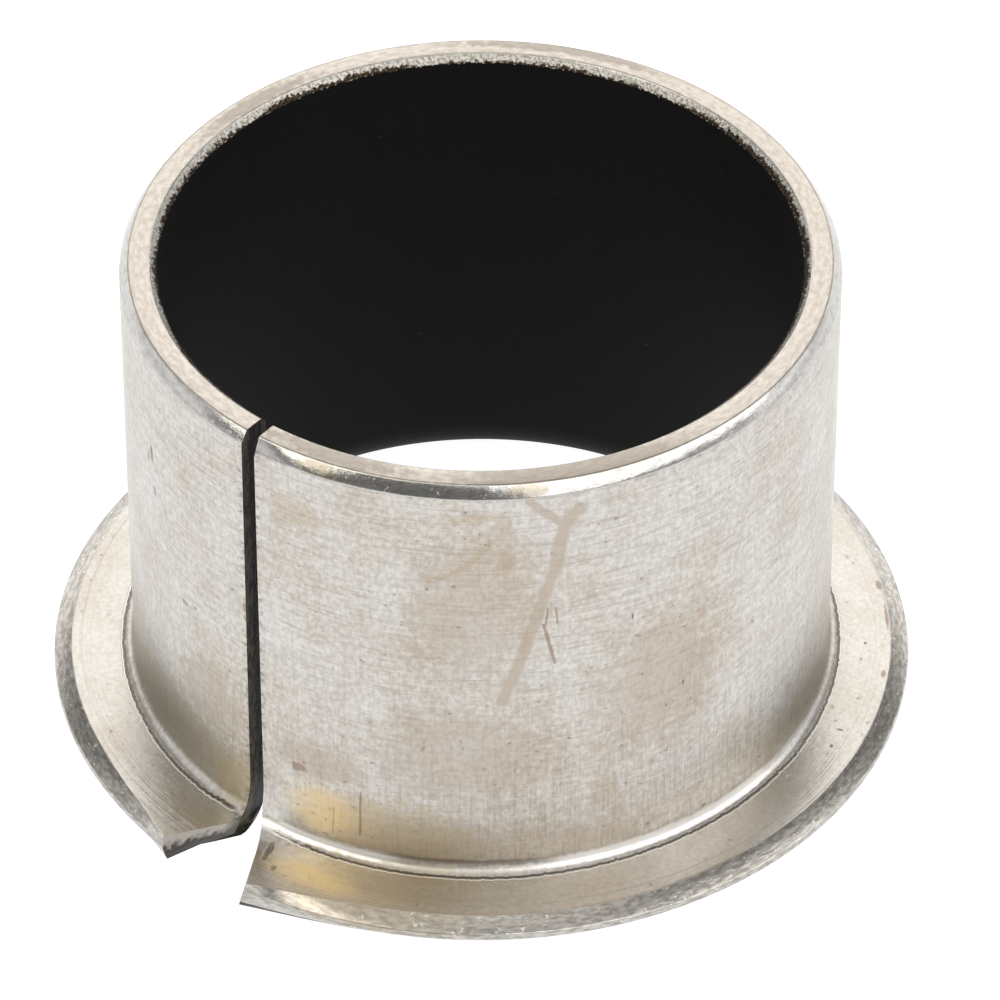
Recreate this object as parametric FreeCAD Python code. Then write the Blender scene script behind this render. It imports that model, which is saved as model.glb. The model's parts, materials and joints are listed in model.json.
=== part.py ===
import FreeCAD, Part
import math
import os

from FreeCAD import Vector

os.makedirs("parts", exist_ok=True)

# A flanged plain bush, wrapped round from one bonded strip. All sizes are in millimetres.
# +Z runs along the bore, the flange is at the bottom, the origin is on the axis at the
# thrust face, and the open butt seam faces -Y. Sizes are those of the free bush, before
# a housing squeezes the seam shut.

# Driving sizes
OUTSIDE_DIAMETER = 28.25
WALL_THICKNESS = 1.48
OVERALL_LENGTH = 21.25
FLANGE_DIAMETER = 34.75
FLANGE_THICKNESS = 1.55

# The layers of the strip, counted from the sliding surface outwards
LINING_THICKNESS = 0.03
SINTER_THICKNESS = 0.25
PLATING_THICKNESS = 0.02

# Bend between sleeve and flange
LINING_BEND_RADIUS = 2.0
BACK_BEND_RADIUS = 0.5

# Chamfers at the sleeve's free end
OUTER_CHAMFER_RADIAL = 0.33
OUTER_CHAMFER_AXIAL = 0.50
INNER_CHAMFER = 0.32

# The rim is a blunt wedge: a shallow bevel on the back face and a steeper one below
BACK_BEVEL_RADIAL = 0.73
BACK_BEVEL_AXIAL = 0.38
RIM_EDGE_HEIGHT = 0.27
FRONT_BEVEL_RADIAL = 0.93

# The seam is a narrow slot in the sleeve and a notch in the flange
SEAM_GAP_AT_END = 0.62
SEAM_GAP_AT_FLANGE = 0.70
NOTCH_HALF_ANGLE = 31.0

# Sizes worked out from the ones above
outer_radius = OUTSIDE_DIAMETER / 2
bore_radius = outer_radius - WALL_THICKNESS
flange_radius = FLANGE_DIAMETER / 2
strip_lining_depth = LINING_THICKNESS + SINTER_THICKNESS
bend_centre_radius = bore_radius + LINING_BEND_RADIUS
AXIS_START = Vector(0, 0, 0)
AXIS_DIRECTION = Vector(0, 0, 1)
FULL_TURN = 360
MARGIN = 2.0

# How far along each axis the middle of a right-angled bend lies, as a share of its radius
BEND_MIDDLE = math.cos(math.radians(45))


def section_point(radius, height):
    return Vector(radius, 0, height)


def line(start, end):
    return Part.LineSegment(start, end).toShape()


def outline(points):
    closed = points + points[:1]
    return Part.Face(Part.makePolygon(closed))


def whole_section():
    """Half section of the finished strip, from the bore to the rim."""
    top = OVERALL_LENGTH
    back = FLANGE_THICKNESS
    back_bend_inset = BACK_BEND_RADIUS * (1 - BEND_MIDDLE)
    lining_bend_inset = LINING_BEND_RADIUS * (1 - BEND_MIDDLE)

    bore_top = section_point(bore_radius, top - INNER_CHAMFER)
    face_inside = section_point(bore_radius + INNER_CHAMFER, top)
    face_outside = section_point(outer_radius - OUTER_CHAMFER_RADIAL, top)
    chamfer_foot = section_point(outer_radius, top - OUTER_CHAMFER_AXIAL)
    back_bend_top = section_point(outer_radius, back + BACK_BEND_RADIUS)
    back_bend_end = section_point(outer_radius + BACK_BEND_RADIUS, back)
    bevel_start = section_point(flange_radius - BACK_BEVEL_RADIAL, back)
    rim_top = section_point(flange_radius, back - BACK_BEVEL_AXIAL)
    rim_bottom = section_point(flange_radius, back - BACK_BEVEL_AXIAL - RIM_EDGE_HEIGHT)
    thrust_outside = section_point(flange_radius - FRONT_BEVEL_RADIAL, 0)
    thrust_inside = section_point(bend_centre_radius, 0)
    lining_bend_top = section_point(bore_radius, LINING_BEND_RADIUS)

    back_bend_middle = section_point(outer_radius + back_bend_inset, back + back_bend_inset)
    lining_bend_middle = section_point(bore_radius + lining_bend_inset, lining_bend_inset)
    edges = [
        line(bore_top, face_inside),
        line(face_inside, face_outside),
        line(face_outside, chamfer_foot),
        line(chamfer_foot, back_bend_top),
        Part.Arc(back_bend_top, back_bend_middle, back_bend_end).toShape(),
        line(back_bend_end, bevel_start),
        line(bevel_start, rim_top),
        line(rim_top, rim_bottom),
        line(rim_bottom, thrust_outside),
        line(thrust_outside, thrust_inside),
        Part.Arc(thrust_inside, lining_bend_middle, lining_bend_top).toShape(),
        line(lining_bend_top, bore_top),
    ]
    return Part.Face(Part.Wire(edges))


def section_beyond(depth):
    """Everything in the section deeper than this below the sliding surface."""
    far_radius = flange_radius + MARGIN
    far_height = OVERALL_LENGTH + MARGIN
    bend_reach = (LINING_BEND_RADIUS - depth) * BEND_MIDDLE
    bend_start = section_point(bore_radius + depth, LINING_BEND_RADIUS)
    bend_middle = section_point(bend_centre_radius - bend_reach, LINING_BEND_RADIUS - bend_reach)
    bend_end = section_point(bend_centre_radius, depth)
    edges = [
        line(section_point(bore_radius + depth, far_height), bend_start),
        Part.Arc(bend_start, bend_middle, bend_end).toShape(),
        line(bend_end, section_point(far_radius, depth)),
        line(section_point(far_radius, depth), section_point(far_radius, far_height)),
        line(section_point(far_radius, far_height), section_point(bore_radius + depth, far_height)),
    ]
    return Part.Face(Part.Wire(edges))


def seam_cutter(extra):
    """Tapered slot through the sleeve wall, with a V-shaped notch through the flange.

    extra widens it on each side, which leaves room for plating on the seam faces.
    """
    bottom = -MARGIN
    top = OVERALL_LENGTH + MARGIN
    slope = (SEAM_GAP_AT_FLANGE - SEAM_GAP_AT_END) / 2 / (OVERALL_LENGTH - FLANGE_THICKNESS)

    def half_gap(height):
        return SEAM_GAP_AT_FLANGE / 2 - slope * (height - FLANGE_THICKNESS) + extra

    slot = outline([
        Vector(-half_gap(bottom), 0, bottom),
        Vector(half_gap(bottom), 0, bottom),
        Vector(half_gap(top), 0, top),
        Vector(-half_gap(top), 0, top),
    ])
    slot = slot.extrude(Vector(0, -flange_radius - MARGIN, 0))

    mouth_radius = flange_radius + MARGIN
    notch_length = mouth_radius - outer_radius
    throat = half_gap(FLANGE_THICKNESS)
    mouth = throat + notch_length * math.tan(math.radians(NOTCH_HALF_ANGLE))
    notch = outline([
        Vector(-throat, -outer_radius, bottom),
        Vector(throat, -outer_radius, bottom),
        Vector(mouth, -mouth_radius, bottom),
        Vector(-mouth, -mouth_radius, bottom),
    ])
    notch_height = FLANGE_THICKNESS + BACK_BEND_RADIUS - bottom
    notch = notch.extrude(Vector(0, 0, notch_height))
    return slot.fuse(notch)


def ring(section):
    return section.revolve(AXIS_START, AXIS_DIRECTION, FULL_TURN)


def ring_with_seam(section, extra=0.0):
    return ring(section).cut(seam_cutter(extra))


section = whole_section()
below_lining = section_beyond(LINING_THICKNESS)
below_sinter = section_beyond(strip_lining_depth)

# The black sliding layer: a PTFE film over the sintered bronze, along the bore, round
# the bend and across the thrust face
ptfe_lining = ring_with_seam(section.cut(below_lining))

# Porous bronze powder sintered on to the steel, filled from above by the lining
bronze_sinter_layer = ring_with_seam(section.common(below_lining).cut(below_sinter))

# The load-carrying low-carbon steel strip, inside its plating
plated_section = section.common(below_sinter)
steel_section = section.makeOffset2D(-PLATING_THICKNESS).common(below_sinter)
steel_backing = ring_with_seam(steel_section, PLATING_THICKNESS)

# Tin on every bare steel surface: the outside, the flange, the chamfers and the seam faces
tin_plating = ring_with_seam(plated_section).cut(steel_backing)

nodes = {
    "steel_backing": steel_backing,
    "bronze_sinter_layer": bronze_sinter_layer,
    "ptfe_lining": ptfe_lining,
    "tin_plating": tin_plating,
}
for name, shape in nodes.items():
    shape.Solids[0].exportStep(os.path.join("parts", name + ".step"))
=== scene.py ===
import json
import math

import bmesh
import bpy
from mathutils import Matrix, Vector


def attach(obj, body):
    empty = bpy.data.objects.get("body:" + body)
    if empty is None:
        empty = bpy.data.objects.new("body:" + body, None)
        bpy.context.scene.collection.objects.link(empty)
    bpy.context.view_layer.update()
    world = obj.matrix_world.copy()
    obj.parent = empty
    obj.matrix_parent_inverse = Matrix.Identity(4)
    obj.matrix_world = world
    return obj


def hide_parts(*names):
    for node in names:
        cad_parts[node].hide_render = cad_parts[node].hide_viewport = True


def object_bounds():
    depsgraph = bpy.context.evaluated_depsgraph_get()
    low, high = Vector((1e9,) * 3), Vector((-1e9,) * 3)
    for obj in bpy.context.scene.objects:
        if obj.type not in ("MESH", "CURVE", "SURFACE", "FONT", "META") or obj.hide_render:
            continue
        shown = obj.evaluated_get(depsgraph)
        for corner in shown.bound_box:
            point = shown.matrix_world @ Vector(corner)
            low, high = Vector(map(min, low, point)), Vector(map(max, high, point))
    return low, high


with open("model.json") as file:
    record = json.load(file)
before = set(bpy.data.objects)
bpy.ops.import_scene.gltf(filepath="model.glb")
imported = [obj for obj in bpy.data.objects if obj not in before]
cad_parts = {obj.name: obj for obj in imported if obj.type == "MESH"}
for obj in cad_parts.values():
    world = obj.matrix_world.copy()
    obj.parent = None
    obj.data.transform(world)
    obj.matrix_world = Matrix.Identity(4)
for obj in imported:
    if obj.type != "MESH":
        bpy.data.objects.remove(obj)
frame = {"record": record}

cad_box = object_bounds()
bpy.context.scene.view_settings.view_transform = "Standard"

# The steel backing: a low-carbon steel strip, 1.2 mm thick, that carries the load. It is
# rolled round until its two cut ends nearly meet, then its lower edge is flared into the
# flange. Every other layer is bonded or plated on to it, so its section leads theirs.
mm = 0.001
mounts = {mount["name"]: mount for mount in frame["record"]["mounts"]}
bore_radius = mounts["bore"]["dims"]["r_mm"] * mm
sleeve_radius = mounts["outside_diameter"]["dims"]["r_mm"] * mm
flange_back = mounts["flange_back_face"]["pos_m"][2]
flange_radius = cad_box[1][0]
sleeve_top = cad_box[1][2]
wall = sleeve_radius - bore_radius
lining_depth = 0.03 * mm
sinter_depth = 0.28 * mm
plating = 0.02 * mm
lining_bend = 2.0 * mm
back_bend = 0.5 * mm
edge_break = 0.05 * mm
inner_chamfer = 0.32 * mm
outer_chamfer_radial = 0.33 * mm
outer_chamfer_axial = 0.50 * mm
back_bevel_radial = 0.73 * mm
back_bevel_axial = 0.38 * mm
rim_edge = 0.27 * mm
front_bevel_radial = 0.93 * mm
front_bevel_axial = flange_back - back_bevel_axial - rim_edge
seam_start = math.radians(0.8)
plate_turn = math.radians(0.08)
strip_steps = 360
longest_edge = 0.5 * mm
smooth_below = math.radians(28)


def select_points(mesh_object, wanted):
    """Select only the points of the mesh in edit mode that pass a test."""
    bpy.ops.mesh.select_mode(type="VERT")
    bpy.ops.mesh.select_all(action="DESELECT")
    mesh = bmesh.from_edit_mesh(mesh_object.data)
    for point in mesh.verts:
        point.select = wanted(point.co)
    mesh.select_flush_mode()
    bmesh.update_edit_mesh(mesh_object.data)


def divide_long_edges(mesh_object, longest):
    bpy.ops.mesh.select_mode(type="EDGE")
    for cuts in (15, 3, 1):
        bpy.ops.mesh.select_all(action="DESELECT")
        mesh = bmesh.from_edit_mesh(mesh_object.data)
        for edge in mesh.edges:
            edge.select = edge.calc_length() > longest * (cuts + 1) * 0.75
        bmesh.update_edit_mesh(mesh_object.data)
        if any(edge.select for edge in bmesh.from_edit_mesh(mesh_object.data).edges):
            bpy.ops.mesh.subdivide(number_cuts=cuts)


def roll_strip(name, corners, start, turn, steps):
    """Draw a strip's section corner by corner, round its bends, and roll it about the bore."""
    bpy.ops.object.select_all(action="DESELECT")
    bpy.ops.mesh.primitive_circle_add(vertices=3, radius=mm)
    piece = bpy.context.object
    piece.name = name
    bpy.ops.object.mode_set(mode="EDIT")
    bpy.ops.mesh.select_mode(type="VERT")
    bpy.ops.mesh.merge(type="CENTER")
    bpy.ops.transform.translate(value=(corners[0][0], 0, corners[0][1]))
    for here, there in zip(corners, corners[1:]):
        step = (there[0] - here[0], 0, there[1] - here[1])
        bpy.ops.mesh.extrude_region_move(TRANSFORM_OT_translate={"value": step})
    bpy.ops.mesh.select_all(action="SELECT")
    bpy.ops.mesh.edge_face_add()
    for radius, height, rounding in corners:
        if rounding > 0:
            reach = 0.002 * mm
            select_points(piece, lambda co: math.hypot(co.x - radius, co.z - height) < reach)
            segments = 3 if rounding < 0.1 * mm else 14
            bpy.ops.mesh.bevel(offset=rounding, affect="VERTICES", segments=segments)
    divide_long_edges(piece, longest_edge)
    bpy.ops.mesh.select_all(action="SELECT")
    to_seam = math.pi / 2 + start
    bpy.ops.transform.rotate(value=to_seam, orient_axis="Z", center_override=(0, 0, 0))
    bpy.ops.mesh.spin(steps=steps, angle=turn, center=(0, 0, 0), axis=(0, 0, 1))
    bpy.ops.mesh.select_all(action="SELECT")
    bpy.ops.mesh.normals_make_consistent(inside=False)
    bpy.ops.object.mode_set(mode="OBJECT")
    return piece


def eased(share):
    share = min(max(share, 0.0), 1.0)
    return share * share * (3 - 2 * share)


def half_gap(side, radius, height):
    """Half the seam's opening: a narrow slot up the sleeve that turns into a V in the flange."""
    top_half = 0.31 * mm
    foot_half = 0.35 * mm
    fillet_height = 1.2 * mm
    right_spread = 0.50
    right_start = -0.16 * mm
    right_undercut = 0.42 * mm
    undercut_reach = 2.4 * mm
    left_spread = 0.65
    left_start = 0.82 * mm
    left_corner = 0.2 * mm
    left_corner_start = 0.85 * mm
    left_corner_reach = 0.6 * mm
    left_slant = 1.05 * mm
    slant_half = 0.9 * mm
    slant_reach = 1.9 * mm
    slant_return = 0.33
    outward = max(radius - sleeve_radius, 0.0)
    upward = max(height - flange_back, 0.0)
    opening = foot_half + (top_half - foot_half) * min(upward / (sleeve_top - flange_back), 1.0)
    near_flange = 1 - eased(upward / fillet_height)
    skin_depth = math.hypot(max(sleeve_radius - radius, 0.0), max(flange_back - height, 0.0))
    skin_depth = min(skin_depth / wall, 1.0)
    place = outward - upward
    if side > 0:
        opening += right_spread * max(outward - right_start, 0.0) * near_flange
        opening -= right_undercut * skin_depth * eased(outward / undercut_reach)
    else:
        opening += left_spread * max(outward - left_start, 0.0) * near_flange
        corner_share = eased((outward - left_corner_start) / left_corner_reach)
        opening += left_corner * corner_share * near_flange
        slant = left_slant * eased((place + slant_half) / slant_reach)
        opening += skin_depth * (slant - slant_return * max(place - slant_half, 0.0))
    return opening


def form_seam_ends(piece):
    """Open the flange's two free ends as flaring does: it spreads them and squares their rims."""
    spread_reach = math.radians(30)
    swell_reach = math.radians(16)
    spring_reach = math.radians(4)
    rim_width = 1.05 * mm
    rim_pull = 0.71 * mm
    crest_rise = 0.2 * mm
    above_back = 0.3 * mm
    end_pull = 0.13 * mm
    end_pull_reach = 2.4 * mm
    swell_push = 0.26 * mm
    swell_width = 0.8 * mm
    swell_centre = 0.2 * mm
    spring_drop = 0.3 * mm
    widest = flange_radius - front_bevel_radial
    for point in piece.data.vertices:
        x, y, height = point.co
        radius = math.hypot(x, y)
        angle = math.atan2(x, -y)
        side = 1 if angle > 0 else -1
        from_end = max(abs(angle) - seam_start, 0.0)
        fade = max(1 - from_end / spread_reach, 0.0) ** 2
        crest = widest + crest_rise * height / flange_back
        if height < flange_back + above_back and radius > crest - rim_width:
            if radius < crest:
                share = (radius - crest + rim_width) / rim_width
            else:
                share = (flange_radius - radius) / (flange_radius - crest)
            radius += rim_pull * fade * max(share, 0.0)
        lifted = 1 if side > 0 else height / flange_back
        radius += end_pull * fade * lifted * eased((radius - sleeve_radius) / end_pull_reach)
        swell = max(1 - from_end / swell_reach, 0.0) ** 2
        outward = radius - sleeve_radius - swell_centre
        corner = math.hypot(outward, height - flange_back - swell_centre)
        push = swell_push * swell * math.exp(-(corner / swell_width) ** 2)
        radius += push
        height += push
        if side > 0:
            sprung = math.exp(-(from_end / spring_reach) ** 2)
            below_top = sleeve_top - height
            lowered = eased(below_top / (0.45 * mm)) * (1 - eased((below_top - mm) / (3 * mm)))
            height -= spring_drop * sprung * lowered
        end_angle = half_gap(side, radius, height) / radius
        away = abs(angle) + (end_angle - seam_start) * fade
        point.co = (radius * math.sin(side * away), -radius * math.cos(side * away), height)


def finish_strip(piece, node, material):
    form_seam_ends(piece)
    bpy.ops.object.select_all(action="DESELECT")
    piece.select_set(True)
    bpy.context.view_layer.objects.active = piece
    bpy.ops.object.shade_smooth_by_angle(angle=smooth_below)
    piece.data.materials.append(material)
    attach(piece, "root")
    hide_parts(node)


def rim_inset(depth):
    """Radius of the lower rim bevel at a height above the thrust face."""
    return flange_radius - front_bevel_radial * (1 - depth / front_bevel_axial)


def join(tree, feed, socket):
    """Feed an input from another node's output, or set it to a plain value."""
    if isinstance(feed, bpy.types.NodeSocket):
        tree.links.new(feed, socket)
    else:
        socket.default_value = feed


def add_node(tree, kind, feeds, **settings):
    made = tree.nodes.new(kind)
    for name, value in settings.items():
        setattr(made, name, value)
    for name, feed in feeds.items():
        join(tree, feed, made.inputs[name])
    return made


def reckon(tree, operation, *feeds):
    return add_node(tree, "ShaderNodeMath", dict(enumerate(feeds)), operation=operation).outputs[0]


def rising(tree, value, low, high):
    """A mask that eases from 0 to 1 while a value goes from low to high."""
    feeds = {0: value, 1: low, 2: high}
    return add_node(tree, "ShaderNodeMapRange", feeds, interpolation_type="SMOOTHSTEP").outputs[0]


def vectors(tree, operation, *feeds):
    return add_node(tree, "ShaderNodeVectorMath", dict(enumerate(feeds)), operation=operation).outputs[0]


def stretched(tree, place, scale):
    return vectors(tree, "MULTIPLY", place, scale)


def cloud(tree, place, scale, detail):
    feeds = {"Vector": place, "Scale": scale, "Detail": detail, "Roughness": 0.6}
    return add_node(tree, "ShaderNodeTexNoise", feeds).outputs["Fac"]


def laid_over(tree, share, under, over):
    feeds = {0: share, 6: under, 7: over}
    return add_node(tree, "ShaderNodeMix", feeds, data_type="RGBA").outputs[2]


def new_group(name, inputs, outputs):
    """A shader node group whose inputs and outputs are named and typed."""
    group = bpy.data.node_groups.new(name, "ShaderNodeTree")
    for label, kind in inputs.items():
        group.interface.new_socket(label, in_out="INPUT", socket_type="NodeSocket" + kind)
    for label, kind in outputs.items():
        group.interface.new_socket(label, in_out="OUTPUT", socket_type="NodeSocket" + kind)
    return group, group.nodes.new("NodeGroupInput").outputs, group.nodes.new("NodeGroupOutput").inputs


def use_group(tree, group, feeds):
    return add_node(tree, "ShaderNodeGroup", feeds, node_tree=group).outputs


# Where a point lies on the strip before it was rolled: along it from the seam, up it, and out
# from the bore's axis, all in millimetres. The join of the angle falls in the seam's gap.
strip_place, given, gives = new_group(
    "strip_place",
    {},
    {
        "Flat": "Vector", "Face": "Vector", "Turn": "Float", "Radius": "Float", "Height": "Float",
        "Cut": "Float", "Up": "Float",
    },
)
rolled = add_node(strip_place, "ShaderNodeTexCoord", {})
millimetres = stretched(strip_place, rolled.outputs["Object"], (1000, 1000, 1000))
axes = add_node(strip_place, "ShaderNodeSeparateXYZ", {0: millimetres}).outputs
facing = add_node(strip_place, "ShaderNodeNewGeometry", {})
faces = add_node(strip_place, "ShaderNodeSeparateXYZ", {0: facing.outputs["Normal"]}).outputs
from_back = reckon(strip_place, "ARCTAN2", reckon(strip_place, "MULTIPLY", axes[0], -1.0), axes[1])
turn = reckon(strip_place, "DEGREES", reckon(strip_place, "ADD", from_back, math.pi))
squared = reckon(strip_place, "MULTIPLY", axes[1], axes[1])
out = reckon(strip_place, "SQRT", reckon(strip_place, "MULTIPLY_ADD", axes[0], axes[0], squared))
leading = reckon(strip_place, "MULTIPLY", faces[1], axes[0])
trailing = reckon(strip_place, "MULTIPLY", faces[0], axes[1])
across = reckon(strip_place, "SUBTRACT", leading, trailing)
end_on = reckon(strip_place, "ABSOLUTE", reckon(strip_place, "DIVIDE", across, out))
along = reckon(strip_place, "MULTIPLY", turn, math.radians(1) * sleeve_radius / mm)
unrolled = add_node(strip_place, "ShaderNodeCombineXYZ", {0: along, 1: axes[2], 2: out})
laid_flat = add_node(strip_place, "ShaderNodeCombineXYZ", {0: along, 1: out, 2: axes[2]})
join(strip_place, unrolled.outputs[0], gives["Flat"])
join(strip_place, laid_flat.outputs[0], gives["Face"])
join(strip_place, turn, gives["Turn"])
join(strip_place, out, gives["Radius"])
join(strip_place, axes[2], gives["Height"])
join(strip_place, rising(strip_place, end_on, 0.6, 0.8), gives["Cut"])
join(strip_place, faces[2], gives["Up"])

# Hairlines left by the rolling tools and by handling: long thin streaks that run one way.
hairlines, given, gives = new_group("hairlines", {"Flat": "Vector", "Stretch": "Vector"}, {"Line": "Float"})
drawn = stretched(hairlines, given["Flat"], given["Stretch"])
fine = cloud(hairlines, drawn, 1.0, 3.0)
join(hairlines, rising(hairlines, fine, 0.3, 0.7), gives["Line"])

# A stain or a scratch: a long or round patch at a place on the strip. Torn roughens its edge.
stain, given, gives = new_group(
    "stain",
    {
        "Flat": "Vector", "Place": "Vector", "Size": "Vector", "Straight": "Vector", "Lean": "Float",
        "Torn": "Float",
    },
    {"Mask": "Float"},
)
offset = vectors(stain, "SUBTRACT", given["Flat"], given["Place"])
feeds = {"Vector": offset, "Angle": given["Lean"]}
leaning = add_node(stain, "ShaderNodeVectorRotate", feeds, rotation_type="Z_AXIS").outputs[0]
beyond = vectors(stain, "SUBTRACT", vectors(stain, "ABSOLUTE", leaning), given["Straight"])
rounded = vectors(stain, "MAXIMUM", beyond, (0, 0, 0))
shrunk = vectors(stain, "DIVIDE", rounded, given["Size"])
reach = add_node(stain, "ShaderNodeVectorMath", {0: shrunk}, operation="LENGTH").outputs["Value"]
frayed = reckon(stain, "ADD", reach, given["Torn"])
join(stain, reckon(stain, "SUBTRACT", 1.0, rising(stain, frayed, 0.5, 1.1)), gives["Mask"])

# Specks: pits, grit and bare spots, scattered thinly. Rare is how few there are, from 0 to 1.
inputs = {"Flat": "Vector", "Scale": "Float", "Rare": "Float"}
specks, given, gives = new_group("specks", inputs, {"Mask": "Float"})
spread = add_node(specks, "ShaderNodeTexVoronoi", {"Vector": given["Flat"], "Scale": given["Scale"]})
chance = add_node(specks, "ShaderNodeSeparateColor", {0: spread.outputs["Color"]}).outputs
size = reckon(specks, "MULTIPLY", reckon(specks, "SUBTRACT", chance[0], given["Rare"]), 0.9)
near = reckon(specks, "SUBTRACT", size, spread.outputs["Distance"])
join(specks, rising(specks, near, 0.0, 0.06), gives["Mask"])


def give_relief(tree, shader, heights, distance, strength):
    feeds = {"Height": heights, "Distance": distance, "Strength": strength}
    join(tree, add_node(tree, "ShaderNodeBump", feeds).outputs[0], shader.inputs["Normal"])


def new_finish(name):
    material = bpy.data.materials.new(name)
    material.use_nodes = True
    tree = material.node_tree
    return material, tree, tree.nodes["Principled BSDF"], use_group(tree, strip_place, {})


steel_finish, tree, shader, at = new_finish("bare_steel")
rolled_lines = use_group(tree, hairlines, {"Flat": at["Flat"], "Stretch": (0.6, 8.0, 8.0)})["Line"]
grey = laid_over(tree, rolled_lines, (0.20, 0.19, 0.18, 1), (0.34, 0.33, 0.31, 1))
rusted = rising(tree, cloud(tree, at["Flat"], 0.9, 5.0), 0.55, 0.75)
join(tree, laid_over(tree, rusted, grey, (0.11, 0.06, 0.035, 1)), shader.inputs["Base Color"])
join(tree, reckon(tree, "MULTIPLY_ADD", rusted, 0.3, 0.4), shader.inputs["Roughness"])
shader.inputs["Metallic"].default_value = 1
give_relief(tree, shader, rolled_lines, 0.01 * mm, 0.5)

whole_turn = 2 * math.pi - 2 * seam_start
steel_corners = [
    (bore_radius + sinter_depth, sleeve_top - inner_chamfer + sinter_depth, 0),
    (bore_radius + inner_chamfer, sleeve_top - plating, 0),
    (sleeve_radius - outer_chamfer_radial, sleeve_top - plating, 0),
    (sleeve_radius - plating, sleeve_top - outer_chamfer_axial, 0),
    (sleeve_radius - plating, flange_back - plating, back_bend),
    (flange_radius - back_bevel_radial, flange_back - plating, 0),
    (flange_radius - plating, flange_back - back_bevel_axial, 0),
    (flange_radius - plating, front_bevel_axial, 0),
    (rim_inset(sinter_depth) - plating, sinter_depth, 0),
    (bore_radius + sinter_depth, sinter_depth, lining_bend - sinter_depth),
]
plated_start = seam_start + plate_turn
plated_turn = whole_turn - 2 * plate_turn
steel = roll_strip("steel_strip", steel_corners, plated_start, plated_turn, strip_steps)
finish_strip(steel, "steel_backing", steel_finish)

# The sintered bronze: bronze powder spread on the strip and fused to it, 0.25 mm deep. Its
# pores hold the lining. Only its edges show: a ragged ring in the mouth of the bore, where
# the tin has taken on the cut grains, and a dark line in the seam.
bronze_finish, tree, shader, at = new_finish("sintered_bronze")
grain = cloud(tree, at["Flat"], 11.0, 3.0)
bronze = laid_over(tree, rising(tree, grain, 0.4, 0.65), (0.010, 0.008, 0.007, 1), (0.10, 0.068, 0.042, 1))
mouth = reckon(tree, "SUBTRACT", at["Height"], (sleeve_top - inner_chamfer) / mm)
torn_edge = reckon(tree, "MULTIPLY_ADD", cloud(tree, at["Flat"], 5.0, 4.0), 0.5, mouth)
wander = reckon(tree, "MULTIPLY", cloud(tree, at["Flat"], 0.16, 2.0), 0.55)
torn_edge = reckon(tree, "ADD", torn_edge, wander)
tinned = rising(tree, torn_edge, 0.62, 0.69)
bright_grains = rising(tree, cloud(tree, at["Flat"], 7.0, 2.0), 0.35, 0.6)
flecks = laid_over(tree, bright_grains, (0.28, 0.26, 0.23, 1), (0.58, 0.57, 0.54, 1))
edge_colour = laid_over(tree, tinned, bronze, flecks)
edge_colour = laid_over(tree, at["Cut"], edge_colour, (0.012, 0.010, 0.009, 1))
join(tree, edge_colour, shader.inputs["Base Color"])
cut_share = reckon(tree, "MULTIPLY", at["Cut"], 0.7)
join(tree, reckon(tree, "SUBTRACT", 1.0, cut_share), shader.inputs["Metallic"])
join(tree, reckon(tree, "MULTIPLY_ADD", grain, 0.4, 0.2), shader.inputs["Roughness"])
give_relief(tree, shader, grain, 0.05 * mm, 0.8)

sinter_corners = [
    (bore_radius + lining_depth, sleeve_top - inner_chamfer + lining_depth, 0),
    (bore_radius + sinter_depth, sleeve_top - inner_chamfer + sinter_depth, 0),
    (bore_radius + sinter_depth, sinter_depth, lining_bend - sinter_depth),
    (rim_inset(sinter_depth), sinter_depth, 0),
    (rim_inset(lining_depth), lining_depth, 0),
    (bore_radius + lining_depth, lining_depth, lining_bend - lining_depth),
]
sinter = roll_strip("sintered_bronze", sinter_corners, seam_start, whole_turn, strip_steps)
finish_strip(sinter, "bronze_sinter_layer", bronze_finish)

# The sliding layer: a film of PTFE with a dark filler, rolled into the bronze's pores. It
# lines the bore, turns out over the bend and covers the thrust face. It is matt black.
lining_finish, tree, shader, at = new_finish("sliding_film")
smear = cloud(tree, stretched(tree, at["Flat"], (1.0, 0.5, 1.0)), 0.9, 5.0)
black = laid_over(tree, smear, (0.0016, 0.0016, 0.0017, 1), (0.005, 0.0042, 0.004, 1))
dust = use_group(tree, specks, {"Flat": at["Flat"], "Scale": 2.2, "Rare": 0.90})["Mask"]
dusty = laid_over(tree, reckon(tree, "MULTIPLY", dust, 0.7), black, (0.16, 0.16, 0.15, 1))
lip = reckon(tree, "SUBTRACT", (sleeve_top - inner_chamfer) / mm, at["Height"])
lip_noise = reckon(tree, "MULTIPLY", cloud(tree, at["Flat"], 6.0, 4.0), 0.5)
scuffed = rising(tree, reckon(tree, "SUBTRACT", lip_noise, lip), 0.29, 0.34)
join(tree, laid_over(tree, scuffed, dusty, (0.36, 0.33, 0.28, 1)), shader.inputs["Base Color"])
join(tree, reckon(tree, "MULTIPLY", scuffed, 0.9), shader.inputs["Metallic"])
film_grain = cloud(tree, at["Flat"], 14.0, 2.0)
join(tree, reckon(tree, "MULTIPLY_ADD", film_grain, 0.25, 0.5), shader.inputs["Roughness"])
shader.inputs["Specular IOR Level"].default_value = 0.13
give_relief(tree, shader, film_grain, 0.02 * mm, 0.6)

lining_corners = [
    (bore_radius, sleeve_top - inner_chamfer, 0),
    (bore_radius + lining_depth, sleeve_top - inner_chamfer + lining_depth, 0),
    (bore_radius + lining_depth, lining_depth, lining_bend - lining_depth),
    (rim_inset(lining_depth), lining_depth, 0),
    (rim_inset(0), 0, 0),
    (bore_radius, 0, lining_bend),
]
lining = roll_strip("sliding_layer", lining_corners, seam_start, whole_turn, strip_steps)
finish_strip(lining, "ptfe_lining", lining_finish)

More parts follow.
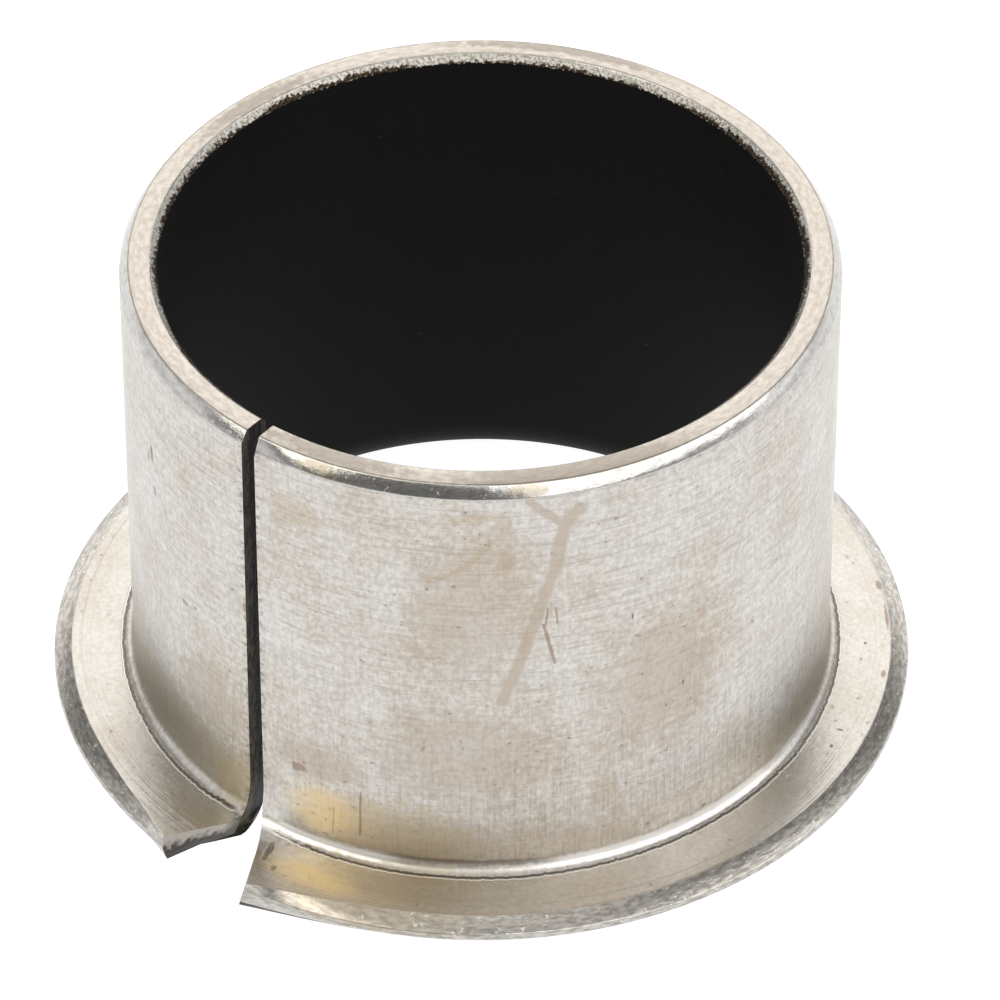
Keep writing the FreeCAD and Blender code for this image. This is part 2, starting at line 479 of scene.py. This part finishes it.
# The tin plating: a thin bright coat over every steel surface, put on in a bath after the
# strip is formed. It is dull down in the seam, where its colour is painted shade, and it carries
# the marks of rolling, turning and handling: crossed hairlines, tan stains, gold tints and small pits.
# Painted highlights lie along the crease at the sleeve's foot and along the flange's lip.
tin_finish, tree, shader, at = new_finish("tin_plate")
flat = at["Flat"]
face = at["Face"]
height = at["Height"]
radius = at["Radius"]
turn = at["Turn"]
arc = math.radians(1) * sleeve_radius / mm
tear = reckon(tree, "SUBTRACT", cloud(tree, flat, 2.5, 4.0), 0.5)


def inverse(mask):
    return reckon(tree, "SUBTRACT", 1.0, mask)


def both(*masks):
    joined = masks[0]
    for mask in masks[1:]:
        joined = reckon(tree, "MULTIPLY", joined, mask)
    return joined


def either(masks):
    joined = masks[0]
    for mask in masks[1:]:
        joined = reckon(tree, "MAXIMUM", joined, mask)
    return joined


def between(value, low, high, soft):
    above = rising(tree, value, low - soft, low + soft)
    return both(above, inverse(rising(tree, value, high - soft, high + soft)))


def tinted(under, mask, strength, tint):
    """Lay a colour over another through a mask, at a strength from 0 to 1."""
    return laid_over(tree, reckon(tree, "MULTIPLY", mask, strength), under, tint + (1,))


def grained(mask, dark, light):
    return laid_over(tree, mask, dark + (1,), light + (1,))


def patch(surface, turn_degrees, across, half_length, half_width, ragged=0.8, lean=0.0, straight=0.0):
    """A stain centred at an angle from the seam, and at a height or radius across the strip."""
    feeds = {
        "Flat": surface,
        "Place": (turn_degrees * arc, across, 0),
        "Size": (half_length, half_width, 1000),
        "Straight": (straight, 0, 0),
        "Lean": lean,
        "Torn": reckon(tree, "MULTIPLY", tear, ragged),
    }
    return use_group(tree, stain, feeds)["Mask"]


def stroke(surface, start, end, half_width, ragged=0.6):
    """A drip or scratch drawn straight from one angle and height to another."""
    run = (end[0] - start[0]) * arc
    climb = end[1] - start[1]
    middle = ((start[0] + end[0]) / 2, (start[1] + end[1]) / 2)
    half_run = math.hypot(run, climb) / 2
    lean = -math.atan2(climb, run)
    return patch(surface, middle[0], middle[1], half_width, half_width, ragged, lean, half_run)


def drawn_line(surface, places, half_width, ragged=0.6):
    strokes = [
        stroke(surface, here, there, half_width, ragged) for here, there in zip(places, places[1:])
    ]
    return either(strokes)


top = sleeve_top / mm
chamfer_foot = top - outer_chamfer_axial / mm
on_top = rising(tree, height, top - 0.04, top - 0.015)
on_chamfer = both(
    rising(tree, height, chamfer_foot - 0.05, chamfer_foot + 0.01), inverse(on_top), inverse(at["Cut"])
)
on_sleeve = between(height, 2.0, 20.72, 0.04)
on_flange = inverse(rising(tree, height, 1.9, 2.1))
on_face = both(rising(tree, at["Up"], 0.955, 0.985), on_flange)
on_rim = both(
    inverse(rising(tree, at["Up"], 0.9, 0.955)), rising(tree, radius, 16.2, 16.4), inverse(at["Cut"])
)

# Its ground colour: silver, washed with tan where the bath has left it thin.
mottle = cloud(tree, stretched(tree, flat, (0.30, 0.20, 0.30)), 1.0, 5.0)
fine_mottle = cloud(tree, stretched(tree, flat, (1.5, 1.1, 1.5)), 3.6, 5.0)
grains = rising(tree, fine_mottle, 0.34, 0.66)
silver = grained(grains, (0.52, 0.505, 0.485), (0.66, 0.65, 0.63))
tan = grained(grains, (0.42, 0.37, 0.31), (0.58, 0.525, 0.46))
colour = laid_over(tree, reckon(tree, "MULTIPLY", rising(tree, mottle, 0.36, 0.68), 0.62), silver, tan)
colour = tinted(colour, on_face, 0.5, (0.58, 0.55, 0.505))

# Drawing and handling marks: level lines round the sleeve, upright ones at its foot, laid as dark scores
# and as bright streaks of painted sheen.
level = use_group(tree, hairlines, {"Flat": flat, "Stretch": (0.55, 8.5, 3.0)})["Line"]
upright = use_group(tree, hairlines, {"Flat": flat, "Stretch": (11.0, 0.55, 3.0)})["Line"]
low_down = inverse(rising(tree, height, 3.0, 14.0))
higher_up = reckon(tree, "SUBTRACT", 1.0, reckon(tree, "MULTIPLY", low_down, 0.5))
level_scores = both(rising(tree, level, 0.66, 1.0), higher_up, on_sleeve)
mostly_low = reckon(tree, "MULTIPLY_ADD", low_down, 0.65, 0.35)
upright_scores = both(rising(tree, upright, 0.60, 1.0), mostly_low, on_sleeve)
# The shine masks carry painted sheen: bright streaks along the hairlines.
level_shine = both(inverse(rising(tree, level, 0.0, 0.28)), 0.9, on_sleeve)
mostly_low = reckon(tree, "MULTIPLY_ADD", low_down, 0.6, 0.4)
upright_shine = both(inverse(rising(tree, upright, 0.0, 0.34)), mostly_low, on_sleeve)
colour = tinted(colour, either([level_scores, upright_scores]), 0.42, (0.34, 0.29, 0.245))
colour = tinted(colour, either([level_shine, upright_shine]), 0.40, (0.72, 0.71, 0.69))

# Dried drips and tan stains on the sleeve.
drip = either([
    drawn_line(flat, [(54.4, 19.95), (52.2, 19.4), (51.2, 18.5), (50.4, 17.2)], 0.36, 0.9),
    drawn_line(flat, [(50.4, 17.2), (49.0, 16.0), (47.1, 14.4), (44.7, 12.4), (42.0, 10.5)], 0.29, 0.9),
    drawn_line(flat, [(46.4, 20.6), (48.6, 20.0), (51.6, 19.3)], 0.24, 0.9),
])
drip_depth = both(drip, reckon(tree, "MULTIPLY_ADD", grains, 0.34, 0.28))
colour = laid_over(tree, drip_depth, colour, (0.39, 0.305, 0.215, 1))
washes = either([
    patch(flat, 37.5, 15.5, 3.0, 4.8, 1.5, 0.25),
    patch(flat, 36.0, 7.6, 4.6, 3.0, 1.6),
    patch(flat, 12.0, 6.0, 2.4, 1.2, 1.6),
    patch(flat, 68.0, 10.0, 3.5, 4.5, 1.9),
    patch(flat, 350.0, 6.5, 2.6, 2.2, 1.9),
    patch(flat, 44.0, 2.6, 7.5, 1.6, 1.3),
])
colour = tinted(colour, both(washes, on_sleeve), 0.40, (0.42, 0.335, 0.25))
smears = either([
    patch(flat, 38.0, 19.8, 1.2, 0.32, 1.3),
    patch(flat, 42.2, 19.5, 0.42, 0.50, 1.3),
    patch(flat, 42.8, 17.7, 0.42, 0.75, 1.3, 0.15),
    stroke(flat, (31.0, 16.6), (36.5, 17.4), 0.16, 1.8),
    stroke(flat, (36.5, 17.4), (41.0, 18.9), 0.18, 1.8),
    patch(flat, 8.0, 18.5, 1.2, 0.9, 1.8),
    patch(flat, 58.5, 5.0, 0.8, 1.2, 1.6),
])
colour = tinted(colour, smears, 0.34, (0.40, 0.295, 0.18))
olive = either([
    both(patch(flat, 340.0, 3.2, 6.5, 2.4, 1.2), on_sleeve),
    both(patch(flat, 104.0, 2.8, 5.0, 1.4, 1.3), on_sleeve),
    # This patch on the flange face beside the seam is painted shade.
    both(patch(face, 354.0, 15.6, 2.4, 0.8, 1.3), on_flange),
])
colour = tinted(colour, olive, 0.55, (0.42, 0.37, 0.265))
brown_marks = either([
    patch(flat, 34.6, 16.4, 0.14, 0.09),
    patch(flat, 8.3, 5.3, 0.42, 0.28, 1.1),
    patch(flat, 343.7, 10.3, 0.26, 0.14, 1.1),
    patch(flat, 346.6, 10.5, 0.12, 0.10, 1.0),
    patch(flat, 66.4, 2.58, 0.15, 0.10, 0.5),
    stroke(flat, (48.6, 14.3), (50.4, 12.3), 0.085, 0.4),
    stroke(flat, (48.9, 14.3), (49.3, 15.1), 0.05, 0.3),
    stroke(flat, (50.8, 14.3), (50.5, 15.1), 0.05, 0.3),
    patch(face, 138.7, 16.53, 0.30, 0.14, 1.0),
    patch(face, 119.7, 16.47, 0.22, 0.12, 1.0),
    patch(face, 132.0, 16.55, 0.9, 0.07, 1.4),
])
colour = tinted(colour, brown_marks, 0.62, (0.25, 0.155, 0.10))

# Gold tints, beside the seam and on the flange.
gold = either([
    patch(flat, 23.0, 2.9, 5.0, 2.3, 1.0),
    patch(flat, 355.2, 2.6, 1.2, 1.4, 1.1),
    both(patch(face, 19.0, 15.95, 4.2, 0.95, 0.8), on_flange),
])
bright_gold = either([
    patch(flat, 12.0, 3.4, 1.6, 1.5, 1.3),
    both(patch(face, 13.5, 16.0, 2.2, 0.62, 0.9), on_flange),
])
colour = tinted(colour, gold, 0.55, (0.50, 0.42, 0.285))
colour = tinted(colour, bright_gold, 0.6, (0.70, 0.59, 0.39))

# Pits, grit and dark scuffs.
grit = use_group(tree, specks, {"Flat": flat, "Scale": 2.0, "Rare": 0.84})["Mask"]
pitting = cloud(tree, stretched(tree, flat, (1.4, 1.9, 1.6)), 2.0, 3.0)
colour = tinted(colour, rising(tree, pitting, 0.44, 0.64), 0.22, (0.45, 0.395, 0.335))
seam_edges = both(inverse(between(turn, 2.2, 357.8, 0.6)), rising(tree, pitting, 0.54, 0.60))
dark_marks = either([
    reckon(tree, "MULTIPLY", seam_edges, 0.6),
    reckon(tree, "MULTIPLY", grit, 0.55),
    both(rising(tree, pitting, 0.675, 0.715), 0.6),
    patch(flat, 333.9, 16.2, 0.13, 0.55, 0.6, -0.08),
    patch(flat, 334.7, 14.4, 0.08, 0.30, 0.6, -0.2),
    patch(flat, 332.6, 15.9, 0.06, 0.30, 0.6),
    both(stroke(flat, (19.3, 5.0), (19.1, 2.7), 0.05, 1.9), 0.65),
    both(stroke(flat, (14.7, 3.8), (14.4, 2.4), 0.04, 1.9), 0.4),
    patch(flat, 63.2, 13.8, 0.05, 0.20, 0.3),
    patch(flat, 72.6, 9.4, 0.045, 0.16, 0.3),
    patch(flat, 77.3, 2.2, 0.05, 0.16, 0.4, 0.5),
    patch(flat, 90.4, 2.7, 0.07, 0.06, 0.4),
    patch(flat, 106.1, 2.6, 0.13, 0.10, 0.8),
    patch(flat, 112.9, 2.3, 0.08, 0.16, 0.8),
    patch(face, 126.0, 15.62, 0.09, 0.07, 0.7),
    patch(face, 106.3, 15.56, 0.05, 0.16, 0.5),
    patch(face, 102.5, 15.62, 0.10, 0.06, 0.8),
    both(patch(face, 5.9, 15.45, 0.15, 0.62, 1.6, 0.12), on_flange, 0.8),
    both(patch(face, 8.4, 16.2, 0.12, 0.20, 1.6), on_flange, 0.7),
])
colour = tinted(colour, dark_marks, 0.75, (0.10, 0.09, 0.085))

# The sawn top edge: creamy, dull and finely pitted, with a thin dark line round it.
top_grain = cloud(tree, stretched(tree, face, (2.2, 5.0, 4.0)), 1.0, 3.0)
cream = grained(rising(tree, top_grain, 0.3, 0.7), (0.48, 0.44, 0.395), (0.63, 0.59, 0.535))
smudge = either([
    patch(face, 54.0, 13.45, 6.0, 0.9, 0.9), patch(face, 205.0, 13.55, 6.0, 0.3, 1.7),
    patch(face, 14.0, 13.3, 4.0, 0.5, 1.7), patch(face, 262.0, 13.3, 4.0, 0.4, 1.7),
])
cream = tinted(cream, smudge, 0.62, (0.27, 0.235, 0.20))
colour = laid_over(tree, on_top, colour, cream)
wavering = reckon(tree, "MULTIPLY_ADD", tear, 0.06, radius)
edge_line = both(between(wavering, 13.73, 13.775, 0.02), rising(tree, height, 21.1, 21.2))
broken = rising(tree, tear, -0.1, 0.15)
foot_line = both(between(height, 20.66, 20.76, 0.03), broken, 0.6, inverse(at["Cut"]))
colour = tinted(colour, either([edge_line, foot_line]), 0.6, (0.14, 0.11, 0.09))

# The turned chamfer: the smoothest surface, nearly a mirror.
bright_cut = grained(rising(tree, top_grain, 0.3, 0.6), (0.46, 0.455, 0.445), (0.58, 0.575, 0.56))
turned_stain = either([patch(flat, 13.0, 20.95, 1.1, 0.45, 1.9), patch(flat, 46.0, 21.05, 0.9, 0.3, 1.9)])
bright_cut = tinted(bright_cut, turned_stain, 0.6, (0.33, 0.27, 0.19))
colour = laid_over(tree, on_chamfer, colour, bright_cut)

# The flange: turned rings near its edge, a brushed grey rim, and at its root a serrated groove darkened
# with painted shade beside a lip lit by a painted highlight.
rings = cloud(tree, stretched(tree, face, (0.05, 11.0, 0.5)), 1.0, 2.0)
ring_zone = both(rising(tree, radius, 15.5, 16.3), on_face)
ring_shadows = both(rising(tree, rings, 0.5, 0.62), ring_zone)
colour = tinted(colour, ring_shadows, 0.35, (0.36, 0.31, 0.26))
brushed = cloud(tree, stretched(tree, face, (3.0, 7.0, 7.0)), 1.0, 6.0)
rim_colour = grained(rising(tree, brushed, 0.36, 0.64), (0.33, 0.315, 0.29), (0.56, 0.54, 0.51))
rim_colour = tinted(rim_colour, gold, 0.5, (0.50, 0.41, 0.27))
rim_flecks = rising(tree, cloud(tree, flat, 5.0, 3.0), 0.63, 0.70)
rim_colour = laid_over(tree, rim_flecks, rim_colour, (0.80, 0.79, 0.76, 1))
colour = laid_over(tree, on_rim, colour, rim_colour)
teeth = cloud(tree, stretched(tree, flat, (6.0, 1.0, 1.0)), 1.0, 5.0)
root = reckon(tree, "MULTIPLY_ADD", teeth, 0.22, reckon(tree, "SUBTRACT", radius, 0.06))
away_from_ends = both(between(turn, 5.0, 356.5, 1.0), on_flange, rising(tree, height, 1.4, 1.5))
# Painted shade fills the groove's band, and a painted highlight runs along the lip beside it.
groove_shade = both(between(root, 14.53, 14.62, 0.02), away_from_ends)
lip = both(between(root, 14.64, 14.72, 0.02), away_from_ends)
colour = tinted(colour, groove_shade, 0.75, (0.07, 0.06, 0.05))
colour = tinted(colour, lip, 0.5, (0.78, 0.76, 0.72))

# The crease at the sleeve's foot: a painted highlight along it, except in front, where painted shade
# darkens it instead.
ragged_height = reckon(tree, "MULTIPLY_ADD", tear, 0.35, height)
in_front = between(turn, 25.0, 50.0, 4.0)
crease_highlight = both(between(ragged_height, 1.66, 2.05, 0.07), between(turn, 0.5, 92.0, 3.0), inverse(in_front))
colour = tinted(colour, crease_highlight, 0.75, (0.86, 0.85, 0.83))
# In front the crease gets painted shade in place of the highlight.
crease_shade = both(between(ragged_height, 1.85, 2.1, 0.05), in_front)
colour = tinted(colour, crease_shade, 0.6, (0.20, 0.17, 0.13))

# The cut ends: dull, with painted shade down the slot that turns black by the lining; on the flange, grey
# at the top and darker towards the bottom.
torn_metal = cloud(tree, stretched(tree, flat, (1.0, 2.0, 5.0)), 1.0, 4.0)
# The slot's colour is painted shade, darker deeper in towards the bore.
slot_shade_colour = grained(rising(tree, torn_metal, 0.35, 0.65), (0.042, 0.034, 0.024), (0.13, 0.105, 0.075))
deep_shade = inverse(rising(tree, reckon(tree, "MULTIPLY_ADD", torn_metal, 0.2, radius), 13.68, 13.92))
slot_shade_colour = laid_over(tree, deep_shade, slot_shade_colour, (0.010, 0.008, 0.007, 1))
end_depth = reckon(tree, "MULTIPLY_ADD", torn_metal, 1.6, reckon(tree, "SUBTRACT", 0.3, height))
end_colour = grained(rising(tree, end_depth, -0.1, 0.5), (0.40, 0.365, 0.33), (0.05, 0.042, 0.038))
low_end = both(on_flange, rising(tree, radius, 14.6, 15.3))
cut_colour = laid_over(tree, low_end, slot_shade_colour, end_colour)
colour = laid_over(tree, at["Cut"], colour, cut_colour)
join(tree, colour, shader.inputs["Base Color"])
slot = both(at["Cut"], inverse(low_end))
join(tree, reckon(tree, "MULTIPLY_ADD", slot, -0.5, 1.0), shader.inputs["Metallic"])

# How rough each surface is, and its relief in millimetres.
roughness = reckon(tree, "MULTIPLY_ADD", mottle, 0.16, 0.25)
roughness = reckon(tree, "MULTIPLY_ADD", either([drip, washes, brown_marks]), 0.10, roughness)
for zone, value in ((on_top, 0.40), (on_chamfer, 0.16), (on_rim, 0.29), (crease_highlight, 0.36), (at["Cut"], 0.5)):
    even = reckon(tree, "MULTIPLY", zone, value)
    roughness = reckon(tree, "MULTIPLY_ADD", roughness, inverse(zone), even)
join(tree, roughness, shader.inputs["Roughness"])
relief = reckon(tree, "MULTIPLY", mottle, 0.03)
for marks, depth in (
    (both(level, on_sleeve), 0.0022), (both(upright, on_sleeve), 0.0022), (top_grain, 0.006),
    (both(brushed, on_rim), 0.006), (both(rings, ring_zone), 0.012), (dark_marks, -0.012),
    (groove_shade, -0.03), (lip, 0.02), (both(torn_metal, at["Cut"]), 0.05), (pitting, 0.004),
    (rim_flecks, 0.002),
):
    relief = reckon(tree, "MULTIPLY_ADD", marks, depth, relief)
give_relief(tree, shader, relief, mm, 1.0)
skin_outside = [
    (bore_radius + sinter_depth, sleeve_top - inner_chamfer + sinter_depth, 0),
    (bore_radius + inner_chamfer, sleeve_top, edge_break),
    (sleeve_radius - outer_chamfer_radial, sleeve_top, edge_break),
    (sleeve_radius, sleeve_top - outer_chamfer_axial, edge_break),
    (sleeve_radius, flange_back, back_bend),
    (flange_radius - back_bevel_radial, flange_back, edge_break),
    (flange_radius, flange_back - back_bevel_axial, edge_break),
    (flange_radius, front_bevel_axial, edge_break),
    (rim_inset(sinter_depth), sinter_depth, 0),
]
skin_inside = [
    (corner[0], corner[1], back_bend if corner[2] == back_bend else 0)
    for corner in reversed(steel_corners[1:-1])
]
skin_corners = skin_outside + skin_inside
tin = roll_strip("tin_skin", skin_corners, plated_start, plated_turn, strip_steps)
bottom_corner = [(bore_radius + sinter_depth, sinter_depth, lining_bend - sinter_depth)]
end_plate_corners = skin_outside + bottom_corner
plates = [
    roll_strip("tin_end_plate", end_plate_corners, start, plate_turn, 1)
    for start in (seam_start, 2 * math.pi - seam_start - plate_turn)
]
bpy.ops.object.select_all(action="DESELECT")
for part in plates + [tin]:
    part.select_set(True)
bpy.context.view_layer.objects.active = tin
bpy.ops.object.join()
finish_strip(tin, "tin_plating", tin_finish)

# The floor: a white sweep that glows a little, as lit paper does, so it stays white under
# the bushing and lights the sleeve from below.
bpy.ops.object.select_all(action="DESELECT")
bpy.ops.mesh.primitive_plane_add(size=4, location=(0, 0, cad_box[0][2]))
floor = bpy.context.object
floor.name = "floor"
floor_finish = bpy.data.materials.new("white_paper")
floor_finish.use_nodes = True
paper = floor_finish.node_tree.nodes["Principled BSDF"]
paper.inputs["Base Color"].default_value = (0.2, 0.2, 0.2, 1)
paper.inputs["Roughness"].default_value = 1
paper.inputs["Specular IOR Level"].default_value = 0
paper.inputs["Emission Color"].default_value = (1, 1, 1, 1)
paper.inputs["Emission Strength"].default_value = 0.98
floor.data.materials.append(floor_finish)

# The light: a dim room with a pale low wall, and soft boxes round the bushing: a wide one at the
# right, a narrow one at the left, a fill over the camera, two behind as a backdrop, a weak one
# at each side and one overhead.
azimuth = math.radians(38.7)
world = bpy.data.worlds.new("studio")
bpy.context.scene.world = world
world.use_nodes = True
room = world.node_tree
direction = add_node(room, "ShaderNodeTexCoord", {}).outputs["Generated"]
lift = add_node(room, "ShaderNodeSeparateXYZ", {0: direction}).outputs[2]
low_wall = reckon(room, "SUBTRACT", 1.0, rising(room, lift, 0.08, 0.28))
room_colour = laid_over(room, low_wall, (0.20, 0.196, 0.188, 1), (0.93, 0.92, 0.90, 1))
join(room, room_colour, room.nodes["Background"].inputs["Color"])
room.nodes["Background"].inputs["Strength"].default_value = 1.0


def hang_soft_box(name, round_degrees, up_degrees, wide_degrees, tall_degrees, brightness, tint):
    """Hang a flat lamp on a sphere round the bushing, turned to face it."""
    away = 0.6
    side = azimuth + math.radians(round_degrees)
    lift = math.radians(up_degrees)
    lamp_data = bpy.data.lights.new(name, "AREA")
    lamp_data.shape = "RECTANGLE"
    lamp_data.size = 2 * away * math.tan(math.radians(wide_degrees) / 2)
    lamp_data.size_y = 2 * away * math.tan(math.radians(tall_degrees) / 2)
    lamp_data.energy = 4 * brightness * lamp_data.size * lamp_data.size_y
    lamp_data.color = tint
    lamp = bpy.data.objects.new(name, lamp_data)
    bpy.context.scene.collection.objects.link(lamp)
    level_away = away * math.cos(lift)
    centre_height = 0.01
    lamp_height = away * math.sin(lift) + centre_height
    lamp.location = (level_away * math.sin(side), -level_away * math.cos(side), lamp_height)
    lamp.rotation_euler = (math.pi / 2 - lift, 0, side)


hang_soft_box("right_box", 52, 38, 74, 40, 1.55, (1, 0.98, 0.95))
hang_soft_box("left_box", -64, 41, 36, 40, 1.6, (1, 0.97, 0.88))
hang_soft_box("camera_fill", -18, 52, 60, 26, 0.75, (1, 0.97, 0.92))
hang_soft_box("high_backdrop", 180, 42, 54, 34, 1.22, (1, 0.98, 0.95))
hang_soft_box("low_backdrop", 180, 15, 110, 20, 1.1, (1, 0.98, 0.95))
hang_soft_box("right_fill", 99, 24, 26, 32, 0.65, (1, 1, 1))
hang_soft_box("left_fill", -100, 24, 30, 32, 0.4, (1, 1, 1))
hang_soft_box("overhead", 0, 90, 34, 34, 0.7, (1, 0.97, 0.92))

# The camera: a long lens, looking down on the bushing from 38.7 degrees to the right of its
# seam. Aside and above slide it within its own view, so that the bushing fills the frame.
elevation = math.radians(40.79)
distance = 0.3057
flatness = math.cos(elevation)
steepness = math.sin(elevation)
back = (math.sin(azimuth) * flatness, -math.cos(azimuth) * flatness, steepness)
right = (math.cos(azimuth), math.sin(azimuth), 0)
up = (-math.sin(azimuth) * steepness, math.cos(azimuth) * steepness, flatness)
camera_data = bpy.data.cameras.new("camera")
camera = bpy.data.objects.new("camera", camera_data)
bpy.context.scene.collection.objects.link(camera)
bpy.context.scene.camera = camera
camera_data.lens = 276.3
camera_data.sensor_width = 36
aside = 0.000758
above = -0.002439
aim_height = 0.01183
camera.location = [back[i] * distance + right[i] * aside + up[i] * above for i in range(3)]
camera.location.z += aim_height
camera.rotation_euler = (math.pi / 2 - elevation, 0, azimuth)
